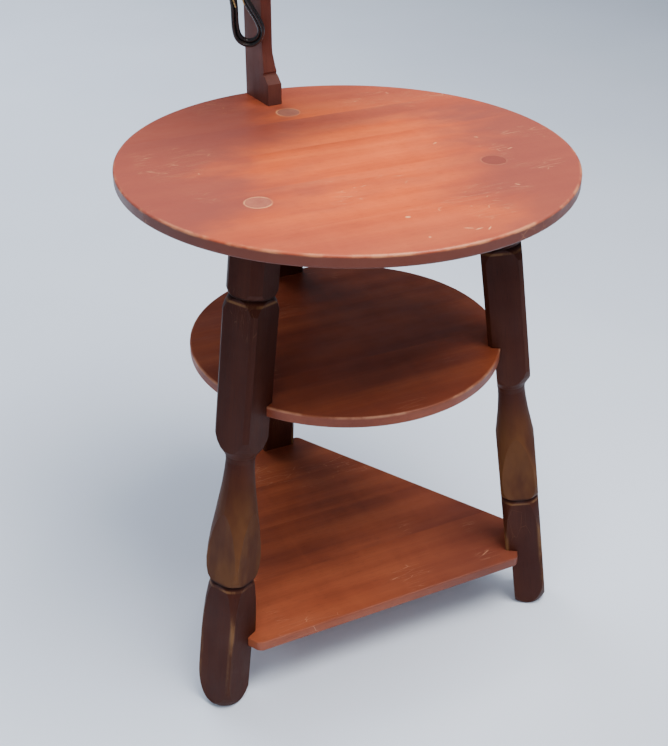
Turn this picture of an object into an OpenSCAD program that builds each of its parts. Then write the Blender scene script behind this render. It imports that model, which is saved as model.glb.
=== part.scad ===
// Three-legged lamp table: a fixed round top, a round shelf, a three-sided shelf and a lamp post.
// The origin is on the floor under the centre of the top. +Z is up and the rear leg stands on +Y.

/* [Top] */
// Diameter of the round top
top_d = 610; // [500:5:740]
// Height of the top surface above the floor
top_h = 737; // [610:1:890]
// Thickness of the top
top_t = 17; // [14:0.5:25]
// Rounding of the top's upper edge
top_edge = 3; // [1:0.5:5]

/* [Round shelf] */
// Diameter of the round shelf
mid_d = 444; // [420:1:480]
// Height of the round shelf's upper face
mid_h = 470; // [450:1:520]
// Thickness of both shelves
shelf_t = 16; // [13:0.5:23]
// Rounding of a shelf's edges
shelf_edge = 2.5; // [1:0.5:5]

/* [Three-sided shelf] */
// Height of the lower shelf's upper face
low_h = 107; // [90:1:150]
// Distance from the centre line to each long edge
low_in = 175; // [150:1:200]
// Distance from the centre line to each cut-off end
low_out = 275; // [270:1:282]
// Radius of the shelf's corners
low_corner = 12; // [6:1:16]

/* [Legs] */
// Side of the square leg blank
leg_w = 56; // [46:0.5:66]
// Distance of a leg's centre from the centre line at the top surface
leg_top_r = 192; // [170:1:230]
// Distance of a leg's centre from the centre line at the floor
leg_foot_r = 301; // [290:1:320]
// Diameter of the round tenon that passes through the top
tenon_d = 32; // [24:1:36]
// Radius of the turned collar under the top
collar_r = 32.5; // [29:0.5:36]
// Radius of the square block's turned corners
block_r = 35.5; // [33:0.5:40]
// Radius of the neck below the block
neck_r = 19.5; // [15:0.5:24]
// Largest radius of the vase
vase_r = 37.5; // [33:0.5:41]
// Largest radius of the foot
foot_r = 39; // [34:0.5:42]
// Depth of the flat planed on the leg's inner face below each shelf
relief = 8; // [0:0.5:10]

/* [Lamp post] */
// Thickness of the post board
post_t = 22.3; // [18:0.1:28]
// Width of the post at its foot
post_w = 71; // [60:1:90]
// Height of the post above the top
post_h = 560; // [470:5:680]
// How far the front edge steps back above the foot
post_step = 16; // [10:1:22]
// How much the board is thinned on one side above the foot
post_thin = 5.5; // [0:0.5:6]
// Distance from the centre line to the post's front edge
post_r = 229.6; // [224:0.1:232]

/* [Lamp] */
// Distance from the post's front edge to the shade's centre line
arm_reach = 140; // [135:1:170]
// Height of the arm's centre line above the top
arm_z = 522; // [440:1:640]
// Height of the arm board at the post
arm_h = 40; // [34:1:50]
// Radius of the shade's lower rim
shade_low_r = 130; // [110:1:150]
// Radius of the shade's upper rim
shade_up_r = 62; // [50:1:80]
// Height of the shade
shade_h = 170; // [150:1:190]

/* [Cord] */
// Diameter of the lamp cord
cord_d = 5; // [4.5:0.1:5.5]
// Height of the cord outlet above the top
outlet_z = 283; // [250:1:300]

/* [Fits] */
// Clearance between a tenon, peg or dowel and its hole, on the radius
fit = 0.1; // [0.05:0.05:0.3]
// Clearance around a shelf end in its slot in the leg
slot_gap = 0.2; // [0.1:0.05:0.5]

/* [Hidden] */
$fn = 96;
eps = 0.5;
tall = 2000;

// Each leg's name, direction and sideways lean in degrees; the left one was bored a little askew
LEGS = [["left", 210, -0.54], ["right", 330, 0], ["rear", 90, 0]];
leg_lean = atan((leg_foot_r - leg_top_r) / top_h);
leg_half = leg_w / 2;
top_r = top_d / 2;
mid_r = mid_d / 2;

// Glue lines between the boards, as distances from the centre along Y
top_seams = [-top_r, -0.62 * top_r, -0.2 * top_r, 0.17 * top_r, leg_top_r - 32, top_r];
mid_seams = [-mid_r, -0.34 * mid_r, 0.34 * mid_r, mid_r];
low_seams = [-low_in, -0.31 * low_in, 0.34 * low_in, 0.94 * low_in, low_out];

// Heights of the turned details on a leg, measured from the floor
foot_flat = 18;
foot_round = 58;
groove2_z = 207;
vase_z = 240;
neck_z = 394;
block_low = 424;
groove1_z = 628;
shoulder_z = top_h - top_t;
groove_r = leg_half - 0.4;

// Turned outline of a leg as [radius, height above the floor]
foot_arc = [for (a = [-90 : 10 : 0])
    [foot_flat + (foot_r - foot_flat) * cos(a), foot_round + (foot_round + 4) * sin(a)]];
leg_outline = concat([[0, -4]], foot_arc, [
    [foot_r - 0.4, groove2_z - 90],
    [foot_r - 1.6, groove2_z - 62],
    [foot_r - 3.6, groove2_z - 36],
    [groove_r + 5, groove2_z - 14],
    [groove_r + 2.4, groove2_z - 4],
    [groove_r, groove2_z],
    [vase_r - 5.5, groove2_z + 3],
    [vase_r - 2.6, groove2_z + 9],
    [vase_r - 0.8, vase_z - 14],
    [vase_r, vase_z],
    [vase_r - 1.3, vase_z + 22],
    [vase_r - 4.8, vase_z + 50],
    [neck_r + 9.6, neck_z - 82],
    [neck_r + 6.4, neck_z - 60],
    [neck_r + 3, neck_z - 37],
    [neck_r + 0.8, neck_z - 15],
    [neck_r, neck_z],
    [neck_r + 1, neck_z + 8],
    [neck_r + 4.5, neck_z + 14],
    [neck_r + 9.5, neck_z + 21],
    [block_r - 2.6, block_low],
    [block_r, block_low + 10],
    [block_r, groove1_z - 18],
    [block_r - 3, groove1_z - 8],
    [groove_r + 1.6, groove1_z - 2],
    [groove_r, groove1_z],
    [collar_r - 2.2, groove1_z + 3],
    [collar_r, groove1_z + 9],
    [collar_r, shoulder_z + leg_half],
    [0, shoulder_z + leg_half]
]);

// Dowels that pin the shelves to the legs
dowel_d = 8;
dowel_len = 40;
dowel_sink = 14;
low_dowel_gap = 26;

// Lamp post details, as distances from the front edge and heights above the top
foot_rise = 31;
slope_rise = 11;
slope_in = 0.75 * post_step;
quirk = 2.5;
taper_z = foot_rise + slope_rise + 38;
taper_w = post_w - post_step;
post_side = -post_t / 2;
post_turn = 4.4;
post_shift = -4.2;
thin_t = post_t - post_thin;
post_mid_x = post_side + thin_t / 2;
post_cap_r = taper_w / 2;
post_cap_y = post_step + post_cap_r;

// Screws from under the top into the post
screw_d = 5;
screw_head_d = 10;
screw_len = 50;
screw_head_t = 3;
screw_ys = [17, 54];

// Arm
arm_end_h = 30;
tenon_t = 9;
tenon_h = 28;
peg_d = 8;
arm_t = thin_t;
arm_end_r = arm_end_h / 2;
lamp_y = -arm_reach;
arm_under = arm_z - arm_end_r;
arm_low = arm_z + arm_end_r - arm_h;
arm_level_y = lamp_y + shade_up_r + 10;

// Brace under the arm
brace_leg = 62;
brace_t = 12;
brace_min = 12;

// Wiring channel
channel_d = cord_d + 3;
outlet_y = 26;
wire_in_d = 4;
wire_bend = 4;
arm_duct_z = arm_z - 4;

// Lamp holder, as heights above the top measured down from the arm
nipple_d = 9.6;
nipple_up = 12;
ring_t = 2;
ring_d = 30;
hub_t = 3;
hub_d = 24;
holder_top = arm_under - ring_t - hub_t;
nipple_low = holder_top - 12;
cap_d = 34;
cap_h = 20;
shell_d = 33;
shell_h = 48;
shell_wall = 1;
shell_top = holder_top - cap_h + 4;
shell_low = shell_top - shell_h;
core_h = 16;
thread_r = 13.6;
thread_wall = 0.6;
thread_h = 26;
core_top = shell_top - 6;
thread_top = core_top - core_h;
knob_z = core_top - core_h / 2;
stem_d = 4;
stem_out = 30;
knob_d = 13;
knob_len = 11;
knob_gap = 0.08;

// Bulb
base_r = 12.9;
base_h = 24;
base_top = thread_top - 1;
bulb_r = 30;
bulb_neck_r = 14;
bulb_len = 74;

// Shade
shade_wall = 1;
wire_d = 3;
wire_gap = 0.1;
shade_top_z = holder_top + hub_t / 2 + wire_d / 2 + 1;
shade_low_z = shade_top_z - shade_h;
shade_slope = (shade_low_r - shade_up_r) / shade_h;

// Sleeve where the cord leaves the post
sleeve_out = 16;
sleeve_in = 6;
sleeve_big = 5.5;
sleeve_tip = cord_d / 2 + 0.9;

// Hank of cord that hangs beside the post
hank_turn = -25.9;
hank_lean = -16;
hank_r = 22.5;
hank_run = 100;
hank_t = 3 * cord_d + 1.5;
hank_waist = 26;
hank_z = outlet_z - 126;
hank_x = -42.7;
hank_y = outlet_y - 2.5;

// Tie round the middle of the hank and the plug
tie_w = 5;
tie_z = 9;
tie_t = 1;
tie_gap = 0.4;
plug_w = 24;
plug_t = 13;
plug_len = 27;
plug_x = 1;
plug_z = 4;
plug_y = -hank_t / 2 - plug_t / 2 - 0.2;
blade_w = 6.3;
blade_t = 1.5;
blade_len = 15;
blade_gap = 12.7;

// Route of the hanging cord beside the post, as [x, y, z] above the outlet
cord_route = [
    [-27, 26, 0], [-30, 26, 0], [-34, 26, -0.6], [-37.6, 25.8, -2.4], [-40.8, 25.3, -5.8],
    [-42.9, 24.8, -10.4], [-43.7, 24.3, -16], [-43.5, 24, -23], [-42.8, 24.4, -31], [-42, 25.3, -39],
    [-41, 26, -47], [-39.7, 26.5, -55], [-38.1, 26.7, -63], [-36.1, 26.3, -71]
];

// Route of the cord's tail from the hank down into the plug, in the hank's own frame
tail_route = [
    [10.6, -6.5, 60.5], [12.4, -8.6, 57.6], [12.6, -11, 54], [11, -13.2, 50],
    [8, -14.6, 45.8], [4.6, -15, 41.4], [2, -15, 37.2], [1, -15, 31]
];

// ---------- shared shapes ----------

// A round board with softly rounded edges, from its upper face down
module round_board(r, t, edge) {
    rotate_extrude()
        polygon(concat(
            [[0, -t], [r - edge, -t]],
            [for (a = [-75 : 15 : 0]) [r - edge + edge * cos(a), edge - t + edge * sin(a)]],
            [for (a = [0 : 15 : 90]) [r - edge + edge * cos(a), -edge + edge * sin(a)]],
            [[0, 0]]
        ));
}

// The strip of a glued-up panel between two glue lines
module strip(seams, i, t) {
    wide = 2 * max(top_r, leg_foot_r);
    translate([-wide / 2, seams[i], -t - eps])
        cube([wide, seams[i + 1] - seams[i], t + 2 * eps]);
}

// Everything that is placed on a leg, in the leg's own leaning frame, which turns about the tenon's end
module on_leg(leg) {
    rotate([0, 0, leg[1]])
        translate([leg_top_r, 0, top_h])
            rotate([leg[2], 0, 0])
                rotate([0, -leg_lean, 0])
                    translate([0, 0, -top_h / cos(leg_lean)])
                        children();
}

// Everything that is placed on the lamp post, above the top
module on_post() {
    translate([post_shift, post_r, top_h])
        rotate([0, 0, post_turn])
            children();
}

// Everything that belongs to the lamp holder under the arm's end
module on_lamp() {
    on_post()
        translate([post_mid_x, lamp_y, 0])
            children();
}

// Everything that belongs to the hank of cord
module on_hank() {
    on_post()
        translate([hank_x, hank_y, hank_z])
            rotate([0, 0, hank_turn - post_turn])
                rotate([0, hank_lean, 0])
                    children();
}

// Three-sided outline with cut-off, rounded corners; grow moves every side outwards
function ray(a, r = 1) = [r * cos(a), r * sin(a)];
module low_outline(grow = 0) {
    r = low_corner;
    inner = low_in + grow - r;
    outer = low_out + grow - r;
    half = (inner - outer / 2) / sin(60);
    corners = [for (a = [90, 210, 330], s = [-1, 1])
        [a, s, ray(a, outer) + s * half * ray(a + 90)]];
    polygon([for (c = corners, first = [true, false])
        c[2] + ray(first == (c[1] > 0) ? c[0] : c[0] + c[1] * 60, r)]);
    for (c = corners) translate(c[2]) circle(r);
}

// Direction of a route at point i
function along(p, i) = p[min(i + 1, len(p) - 1)] - p[max(i - 1, 0)];
function unit(v) = v / norm(v);

// A round tube swept along a route as one closed polyhedron; side is a direction the route never takes
module sweep_tube(route, d, side = [0, 1, 0.02], sides = 8) {
    n = len(route);
    rings = [for (i = [0 : n - 1])
        let (t = unit(along(route, i)), u = unit(cross(t, side)), v = cross(t, u))
            for (k = [0 : sides - 1])
                route[i] + d / 2 * (cos(360 * k / sides) * u + sin(360 * k / sides) * v)];
    walls = [for (i = [0 : n - 2], k = [0 : sides - 1])
        let (a = i * sides + k, b = i * sides + (k + 1) % sides)
            [a, b, b + sides, a + sides]];
    ends = [[for (k = [sides - 1 : -1 : 0]) k],
            [for (k = [0 : sides - 1]) (n - 1) * sides + k]];
    polyhedron(rings, concat(walls, ends), convexity = 6);
}

// ---------- table ----------

// One board of the round top, bored for the leg tenons
module top_board(i) {
    color("sienna")
        translate([0, 0, top_h])
            difference() {
                intersection() {
                    round_board(top_r, top_t, top_edge);
                    strip(top_seams, i, top_t);
                }
                translate([0, 0, -top_h]) {
                    for (leg = LEGS) on_leg(leg) cylinder(d = tenon_d + 2 * fit, h = tall);
                    post_screw_holes();
                }
            }
}

// One board of the round shelf
module mid_board(i) {
    color("brown")
        difference() {
            translate([0, 0, mid_h])
                intersection() {
                    round_board(mid_r, shelf_t, shelf_edge);
                    strip(mid_seams, i, shelf_t);
                }
            mid_dowel_shapes(fit);
        }
}

// One board of the three-sided shelf
module low_board(i) {
    color("brown")
        difference() {
            translate([0, 0, low_h])
                intersection() {
                    translate([0, 0, -shelf_t]) linear_extrude(shelf_t) low_outline();
                    strip(low_seams, i, shelf_t);
                }
            low_dowel_shapes(fit);
        }
}

// A turned and squared leg with its tenon, shelf slots and planed inner face
module leg(place) {
    color("saddlebrown")
        difference() {
            intersection() {
                union() {
                    intersection() {
                        on_leg(place) intersection() {
                            rotate_extrude() polygon(leg_outline);
                            translate([-leg_half, -leg_half, -leg_half])
                                cube([leg_w, leg_w, tall]);
                        }
                        cylinder(r = leg_foot_r + leg_w, h = shoulder_z);
                    }
                    on_leg(place) translate([0, 0, neck_z]) cylinder(d = tenon_d, h = tall);
                }
                cylinder(r = leg_foot_r + leg_w, h = top_h);
            }
            translate([0, 0, mid_h - shelf_t - slot_gap])
                cylinder(r = mid_r + slot_gap, h = shelf_t + 2 * slot_gap);
            translate([0, 0, low_h - shelf_t - slot_gap])
                linear_extrude(shelf_t + 2 * slot_gap) low_outline(slot_gap);
            on_leg(place) {
                planed_flat(neck_z, mid_h - shelf_t);
                planed_flat(-leg_half, low_h - shelf_t);
            }
            mid_dowel_shapes(fit);
            low_dowel_shapes(fit);
        }
}

// The flat planed on a leg's inner face between two heights
module planed_flat(z0, z1) {
    translate([-leg_half - eps, -leg_w, z0 / cos(leg_lean)])
        cube([relief + eps, 2 * leg_w, (z1 - z0) / cos(leg_lean)]);
}

// Dowels from the round shelf into the legs, one to each leg
module mid_dowel_shapes(gap = 0) {
    for (leg = LEGS) rotate([0, 0, leg[1]])
        translate([mid_r + dowel_sink - dowel_len - gap, 0, mid_h - shelf_t / 2])
            rotate([0, 90, 0]) cylinder(d = dowel_d + 2 * gap, h = dowel_len + 2 * gap);
}

// Dowels from the lower shelf into the legs, two to each leg
module low_dowel_shapes(gap = 0) {
    for (leg = LEGS, s = [-1, 1]) rotate([0, 0, leg[1]])
        translate([low_out + dowel_sink - dowel_len - gap, s * low_dowel_gap / 2, low_h - shelf_t / 2])
            rotate([0, 90, 0]) cylinder(d = dowel_d + 2 * gap, h = dowel_len + 2 * gap);
}

// ---------- lamp post, arm and brace ----------

// Side outline of the post: foot, slope, quirk and taper, then a straight edge to a round head
module post_outline() {
    rise = foot_rise + slope_rise;
    polygon([
        [0, 0],
        [0, foot_rise],
        [slope_in - 2, rise - 2],
        [slope_in + quirk, rise],
        [slope_in + quirk, rise + 1.5],
        [slope_in, rise + 4],
        [slope_in + 0.6, rise + 12],
        [slope_in + 2, rise + 24],
        [post_step, taper_z],
        for (a = [180 : -6 : 0]) [post_cap_y + post_cap_r * cos(a), post_h - post_cap_r + post_cap_r * sin(a)],
        [post_w, 0]
    ]);
}

// Front outline of the post: full thickness at the foot, thinned on one side above it
module post_front() {
    rise = foot_rise + slope_rise;
    polygon([
        [post_side, 0],
        [post_side, post_h + eps],
        [post_side + thin_t, post_h + eps],
        [post_side + thin_t, rise + 30],
        [post_side + thin_t + post_thin / 2, rise + 12],
        [-post_side, rise],
        [-post_side, 0]
    ]);
}

module post() {
    color("saddlebrown")
        difference() {
            on_post() difference() {
                intersection() {
                    translate([-post_t, 0, 0]) rotate([90, 0, 90]) linear_extrude(2 * post_t) post_outline();
                    translate([0, post_w + eps, 0]) rotate([90, 0, 0]) linear_extrude(post_w + 2 * eps) post_front();
                }
                translate([post_mid_x - tenon_t / 2 - fit, post_step - eps, arm_z - tenon_h / 2 - fit])
                    cube([tenon_t + 2 * fit, taper_w + 2 * eps, tenon_h + 2 * fit]);
                peg_shape(fit);
                duct();
                sleeve_shape(fit);
            }
            post_screw_holes();
        }
}

// Wood screws that hold the post down, driven from under the top
module post_screw_shape(y, gap = 0) {
    on_post() translate([0, y, -top_t]) {
        cylinder(d = screw_d + 2 * gap, h = screw_len);
        translate([0, 0, -gap]) cylinder(d1 = screw_head_d + 2 * gap, d2 = screw_d + 2 * gap, h = screw_head_t + gap);
    }
}

module post_screws() {
    color("dimgray")
        for (y = screw_ys)
            difference() {
                post_screw_shape(y);
                on_post() translate([-screw_head_d, y - 0.5, -top_t - eps])
                    cube([2 * screw_head_d, 1, 1.2 + eps]);
            }
}

module post_screw_holes() {
    for (y = screw_ys) post_screw_shape(y, fit);
}

// Side outline of the arm: straight on top, level over the shade, then deeper up to the post
module arm_outline() {
    polygon([
        for (a = [90 : 10 : 270]) [lamp_y + arm_end_r * cos(a), arm_z + arm_end_r * sin(a)],
        [arm_level_y, arm_under],
        [post_step, arm_low],
        [post_step, arm_z + arm_end_r]
    ]);
}

module arm() {
    color("saddlebrown")
        on_post()
            difference() {
                union() {
                    translate([post_mid_x - arm_t / 2, 0, 0]) rotate([90, 0, 90])
                        linear_extrude(arm_t) arm_outline();
                    translate([post_mid_x - tenon_t / 2, post_step, arm_z - tenon_h / 2])
                        cube([tenon_t, taper_w, tenon_h]);
                }
                peg_shape(fit);
                duct();
                translate([post_mid_x, lamp_y, arm_z - arm_h]) cylinder(d = nipple_d + 2 * fit, h = 2 * arm_h);
            }
}

// Wooden peg through the post and the arm's tenon
module peg_shape(gap = 0) {
    translate([post_side - gap, post_step + taper_w * 0.72, arm_z])
        rotate([0, 90, 0]) cylinder(d = peg_d + 2 * gap, h = thin_t + 2 * gap);
}

module arm_peg() {
    color("peru") on_post() peg_shape();
}

// Sawn brace with a hollow curve, between the arm and the post
module arm_brace() {
    slope = (arm_under - arm_low) / (post_step - arm_level_y);
    color("saddlebrown")
        on_post()
            translate([post_mid_x - brace_t / 2, 0, 0]) rotate([90, 0, 90])
                linear_extrude(brace_t)
                    difference() {
                        polygon([
                            [post_step, arm_low],
                            [post_step, arm_low - brace_leg],
                            [post_step - brace_min, arm_low - brace_leg],
                            [post_step - brace_leg, arm_low - brace_min + slope * brace_leg],
                            [post_step - brace_leg, arm_low + slope * brace_leg]
                        ]);
                        translate([post_step - brace_leg, arm_low - brace_leg])
                            circle(brace_leg - brace_min - 4);
                    }
}

// ---------- wiring ----------

// Drilled holes for the wiring: in from the sleeve, up the post, along the arm and down the nipple
module duct() {
    translate([post_side - eps, outlet_y, outlet_z]) rotate([0, 90, 0])
        cylinder(d = channel_d, h = post_mid_x - post_side + eps);
    translate([post_mid_x, outlet_y, outlet_z - channel_d])
        cylinder(d = channel_d + 1, h = arm_duct_z - outlet_z + 2 * channel_d);
    translate([post_mid_x, outlet_y + channel_d, arm_duct_z]) rotate([90, 0, 0])
        cylinder(d = channel_d, h = outlet_y - lamp_y + channel_d);
}

// Points of a quarter bend from direction u round to direction v, about a corner point
function bend(corner, u, v, r) = [for (a = [0 : 22.5 : 90]) corner - r * u + r * v + r * (sin(a) * u - cos(a) * v)];

// The wire that the post, arm and nipple hold all the way
module inner_cord() {
    foot = [post_mid_x, outlet_y, outlet_z];
    head = [post_mid_x, outlet_y, arm_duct_z];
    drop = [post_mid_x, lamp_y, arm_duct_z];
    route = concat(
        [[post_side - sleeve_out / 2, outlet_y, outlet_z]],
        bend(foot, [1, 0, 0], [0, 0, 1], wire_bend),
        bend(head, [0, 0, 1], [0, -1, 0], wire_bend),
        bend(drop, [0, -1, 0], [0, 0, -1], wire_bend),
        [[post_mid_x, lamp_y, nipple_low]]);
    color("black") on_post() sweep_tube(route, wire_in_d, [0.3, 1, 0.4]);
}

// Tapered sleeve in the post's side where the cord comes out
module sleeve_shape(gap = 0) {
    translate([post_side + sleeve_in + gap, outlet_y, outlet_z]) rotate([0, -90, 0]) {
        cylinder(r = sleeve_big + gap, h = sleeve_in + 2 * gap);
    }
}

module cord_sleeve() {
    color("black")
        on_post()
            difference() {
                union() {
                    sleeve_shape();
                    translate([post_side, outlet_y, outlet_z]) rotate([0, -90, 0])
                        cylinder(r1 = sleeve_big + 1.5, r2 = sleeve_tip, h = sleeve_out);
                }
                translate([post_side + sleeve_in + eps, outlet_y, outlet_z]) rotate([0, -90, 0])
                    cylinder(d = cord_d + 2 * fit, h = sleeve_in + sleeve_out + 2 * eps);
            }
}

// The free cord from the sleeve down to the hank
module cord() {
    color("black") on_post() translate([0, 0, outlet_z]) sweep_tube(cord_route, cord_d);
}

// Outline of the hank: two round ends drawn in at the tie
module hank_outline() {
    z = hank_run / 2;
    waist = hank_waist / 2;
    polygon(concat(
        [for (a = [0 : 10 : 180]) [hank_r * cos(a), z + hank_r * sin(a)]],
        [[-waist, 2 * tie_z], [-waist, 0]],
        [for (a = [180 : 10 : 360]) [hank_r * cos(a), hank_r * sin(a) - z]],
        [[waist, 0], [waist, 2 * tie_z]]
    ));
}

module cord_hank() {
    color("black")
        on_hank()
            translate([0, hank_t / 2, 0]) rotate([90, 0, 0]) linear_extrude(hank_t) hank_outline();
}

module cord_tail() {
    color("black") on_hank() sweep_tube(tail_route, cord_d);
}

// Band that holds the hank and the plug together
module cord_tie() {
    w = hank_waist + 2 * tie_gap;
    front = plug_y - plug_t / 2 - tie_gap;
    back = hank_t / 2 + tie_gap;
    color("dimgray")
        on_hank()
            translate([0, 0, tie_z])
                difference() {
                    translate([-w / 2 - tie_t, front - tie_t, 0])
                        cube([w + 2 * tie_t, back - front + 2 * tie_t, tie_w]);
                    translate([-w / 2, front, -eps]) cube([w, back - front, tie_w + 2 * eps]);
                }
}

// Plug moulding, with a taper where the tail goes in
module plug_body() {
    color("black")
        on_hank()
            translate([plug_x, plug_y, plug_z])
                difference() {
                    union() {
                        translate([-plug_w / 2, -plug_t / 2, 0]) cube([plug_w, plug_t, plug_len - 8]);
                        translate([0, 0, plug_len - 8]) cylinder(r1 = plug_t / 2, r2 = sleeve_tip, h = 8);
                    }
                    for (s = [-1, 1]) translate([s * blade_gap / 2 - blade_t / 2, -blade_w / 2, -eps])
                        cube([blade_t, blade_w, 6 + eps]);
                }
}

module plug_blades() {
    color("gold")
        on_hank()
            translate([plug_x, plug_y, plug_z])
                for (s = [-1, 1]) difference() {
                    translate([s * blade_gap / 2 - blade_t / 2, -blade_w / 2, -blade_len])
                        cube([blade_t, blade_w, blade_len + 6]);
                    translate([s * blade_gap / 2 - blade_t, 0, -blade_len + 4]) rotate([0, 90, 0])
                        cylinder(d = 3, h = 2 * blade_t);
                }
}

// ---------- lamp holder ----------

// Threaded tube through the arm's end
module nipple() {
    color("goldenrod")
        on_lamp()
            difference() {
                translate([0, 0, nipple_low]) cylinder(d = nipple_d, h = arm_z + arm_end_r + nipple_up - nipple_low);
                translate([0, 0, nipple_low - eps]) cylinder(d = channel_d - 1, h = tall);
                translate([0, 0, arm_duct_z]) rotate([-90, 0, 0]) cylinder(d = wire_in_d + 2, h = nipple_d);
            }
}

// Domed nut on top of the arm
module nipple_cap_nut() {
    z = arm_z + arm_end_r;
    color("goldenrod")
        on_lamp()
            difference() {
                translate([0, 0, z]) rotate_extrude()
                    polygon([[0, 0], [11, 0], [11, 2], [8, 3], [7.5, 8], [8.5, 11], [7, 15], [4, 18], [0, 19]]);
                translate([0, 0, z - eps]) cylinder(d = nipple_d + 2 * fit, h = nipple_up + 1);
            }
}

// Washer between the arm and the shade's hub
module shade_check_ring() {
    color("goldenrod")
        on_lamp() translate([0, 0, arm_under - ring_t])
            difference() {
                cylinder(d = ring_d, h = ring_t);
                translate([0, 0, -eps]) cylinder(d = nipple_d + 2 * fit, h = ring_t + 2 * eps);
            }
}

// Domed cap of the lamp holder
module socket_cap() {
    z = holder_top - cap_h;
    wall = shell_wall;
    color("goldenrod")
        on_lamp() translate([0, 0, z])
            difference() {
                rotate_extrude()
                    polygon([[0, 0], [cap_d / 2 + wall, 0], [cap_d / 2 + wall, 6], [cap_d / 2 - 2, 12],
                             [cap_d / 2 - 7, 17], [8, cap_h], [0, cap_h]]);
                translate([0, 0, -eps]) cylinder(d = cap_d + 2 * fit, h = 6 + eps);
                translate([0, 0, 6 - eps]) cylinder(d1 = cap_d - 2 * wall, d2 = 12, h = 9);
                cylinder(d = nipple_d + 2 * fit, h = tall);
            }
}

// Brass shell of the lamp holder, open at both ends, with a hole for the switch stem
module socket_shell() {
    color("goldenrod")
        on_lamp()
            difference() {
                translate([0, 0, shell_low]) cylinder(d = shell_d, h = shell_h);
                translate([0, 0, shell_low - eps]) cylinder(d = shell_d - 2 * shell_wall, h = shell_h + 2 * eps);
                translate([0, 0, knob_z]) rotate([0, 90, 0]) cylinder(d = stem_d + 3, h = shell_d);
            }
}

// Moulded core that carries the switch and the contacts
module socket_core() {
    color("dimgray")
        on_lamp()
            difference() {
                union() {
                    translate([0, 0, core_top - core_h]) cylinder(r = shell_d / 2 - shell_wall - 0.4, h = core_h);
                    translate([0, 0, base_top]) cylinder(d = 8, h = thread_top - base_top + 1);
                }
                translate([2, 0, knob_z]) rotate([0, 90, 0])
                    cylinder(d = stem_d + 2 * knob_gap, h = shell_d);
            }
}

// Threaded brass sleeve that takes the bulb
module socket_thread() {
    color("gold")
        on_lamp()
            difference() {
                translate([0, 0, thread_top - thread_h]) cylinder(r = thread_r + thread_wall, h = thread_h);
                translate([0, 0, thread_top - thread_h - eps]) cylinder(r = thread_r, h = thread_h + 2 * eps);
            }
}

// Switch stem, which turns in the core
module switch_stem() {
    color("goldenrod")
        on_lamp() translate([2.3, 0, knob_z]) rotate([0, 90, 0]) cylinder(d = stem_d, h = stem_out - 2.3);
}

// Ribbed switch knob on the stem
module switch_knob() {
    ribs = 12;
    color("black")
        on_lamp() translate([shell_d / 2 + 4, 0, knob_z]) rotate([0, 90, 0])
            difference() {
                union() {
                    cylinder(d = knob_d - 1.5, h = knob_len);
                    for (k = [0 : ribs - 1]) rotate([0, 0, 360 * k / ribs])
                        translate([knob_d / 2 - 1.2, 0, 0]) cylinder(d = 2, h = knob_len - 1);
                }
                translate([0, 0, -eps]) cylinder(d = stem_d, h = stem_out - shell_d / 2 - 4 + eps);
            }
}

module bulb_base() {
    color("silver")
        on_lamp() {
            translate([0, 0, base_top - base_h]) cylinder(r = base_r, h = base_h - 3);
            translate([0, 0, base_top - 3]) cylinder(r1 = base_r, r2 = 5, h = 3);
        }
}

// Pear-shaped glass, hanging base up
module bulb_glass() {
    color("white")
        on_lamp() translate([0, 0, base_top - base_h])
            rotate_extrude()
                polygon(concat(
                    [[0, 0], [bulb_neck_r - 2, 0]],
                    [[bulb_neck_r + 1, -12], [bulb_neck_r + 6, -24]],
                    [for (a = [35 : -12.5 : -90]) [bulb_r * cos(a), -bulb_len + bulb_r * 1.05 + bulb_r * sin(a)]]
                ));
}

// Conical skin of the shade, open at both ends
module shade_skin() {
    color("wheat")
        on_lamp()
            rotate_extrude()
                polygon([
                    [shade_low_r, shade_low_z], [shade_up_r, shade_top_z],
                    [shade_up_r - shade_wall, shade_top_z], [shade_low_r - shade_wall, shade_low_z]
                ]);
}

// Wire rings, three arms and the hub that hangs the shade on the nipple
module shade_frame() {
    up_r = shade_up_r - shade_wall - wire_d / 2 - wire_gap;
    low_r = shade_low_r - shade_wall - wire_d / 2 - wire_gap - shade_slope * wire_d;
    wire_z = holder_top + hub_t / 2;
    color("goldenrod")
        on_lamp() {
            translate([0, 0, wire_z]) rotate_extrude() translate([up_r, 0]) circle(d = wire_d, $fn = 24);
            translate([0, 0, shade_low_z + wire_d / 2 + 0.2])
                rotate_extrude() translate([low_r, 0]) circle(d = wire_d, $fn = 24);
            for (a = [30, 150, 270]) rotate([0, 0, a]) {
                translate([hub_d / 2 - 2, 0, wire_z]) rotate([0, 90, 0])
                    cylinder(d = wire_d - 1, h = up_r - hub_d / 2 + 2);
            }
            translate([0, 0, holder_top]) difference() {
                cylinder(d = hub_d, h = hub_t);
                translate([0, 0, -eps]) cylinder(d = nipple_d + 2 * fit, h = hub_t + 2 * eps);
            }
        }
}

top_board(0);  // top_board_1
top_board(1);  // top_board_2
top_board(2);  // top_board_3
top_board(3);  // top_board_4
top_board(4);  // top_board_5
leg(LEGS[0]);  // leg_left
leg(LEGS[1]);  // leg_right
leg(LEGS[2]);  // leg_rear
mid_board(0);  // mid_shelf_board_1
mid_board(1);  // mid_shelf_board_2
mid_board(2);  // mid_shelf_board_3
low_board(0);  // low_shelf_board_1
low_board(1);  // low_shelf_board_2
low_board(2);  // low_shelf_board_3
low_board(3);  // low_shelf_board_4
color("peru") mid_dowel_shapes();  // mid_shelf_dowels
color("peru") low_dowel_shapes();  // low_shelf_dowels
post();  // lamp_post
post_screws();
arm();  // lamp_arm
arm_peg();
arm_brace();
nipple();  // lamp_nipple
nipple_cap_nut();
shade_check_ring();
socket_cap();
socket_shell();
socket_core();
socket_thread();
switch_stem();
switch_knob();
bulb_base();
bulb_glass();
shade_skin();
shade_frame();
inner_cord();
cord_sleeve();
cord();
cord_hank();
cord_tail();
cord_tie();
plug_body();
plug_blades();
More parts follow.
